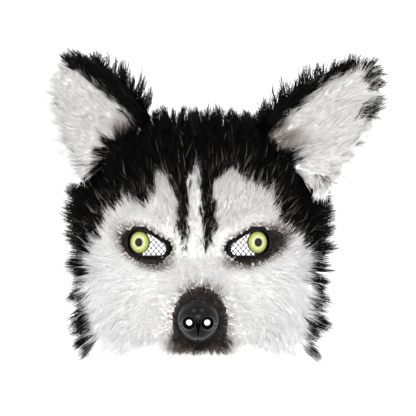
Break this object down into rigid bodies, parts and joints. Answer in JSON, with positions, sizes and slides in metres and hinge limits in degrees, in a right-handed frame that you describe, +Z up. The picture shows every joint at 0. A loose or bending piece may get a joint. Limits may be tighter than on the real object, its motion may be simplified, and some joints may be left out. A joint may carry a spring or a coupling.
{
  "type": "husky mask",
  "caption": "Husky half mask to wear: a moulded face form under faux fur, with ears, eye nets, a nose with open nostrils and an elastic band.",
  "frame": {"origin": "The bridge between the wearer's eyes, on the moulded form's inner surface, where the mask sits on a face", "axes": "+Z up, +Y from the face into the wearer's head, +X to the right of someone who looks at the mask"},
  "size_m": [0.2859, 0.2284, 0.2537],
  "materials": {
    "shell_plastic": "smooth moulded black plastic",
    "black_fur": "long pile black faux fur",
    "white_fur": "white faux fur",
    "grey_fur": "short dark faux fur",
    "net_black": "coarse black net",
    "iris_print": "printed yellow-green iris, glossy",
    "nose_plastic": "satin black moulding",
    "elastic": "flat woven elastic"
  },
  "bodies": {
    "root": {"mask_shell": "shell_plastic", "crown_fur": "black_fur", "face_fur": "white_fur", "muzzle_fur": "grey_fur", "side_fringe_left": "black_fur", "side_fringe_right": "black_fur", "ear_left": "black_fur", "ear_right": "black_fur", "ear_inner_left": "white_fur", "ear_inner_right": "white_fur", "eye_socket_left": "shell_plastic", "eye_socket_right": "shell_plastic", "eye_net_left": "net_black", "eye_net_right": "net_black", "eye_left": "iris_print", "eye_right": "iris_print", "nose": "nose_plastic", "elastic_band": "elastic"}
  },
  "joints": []
}
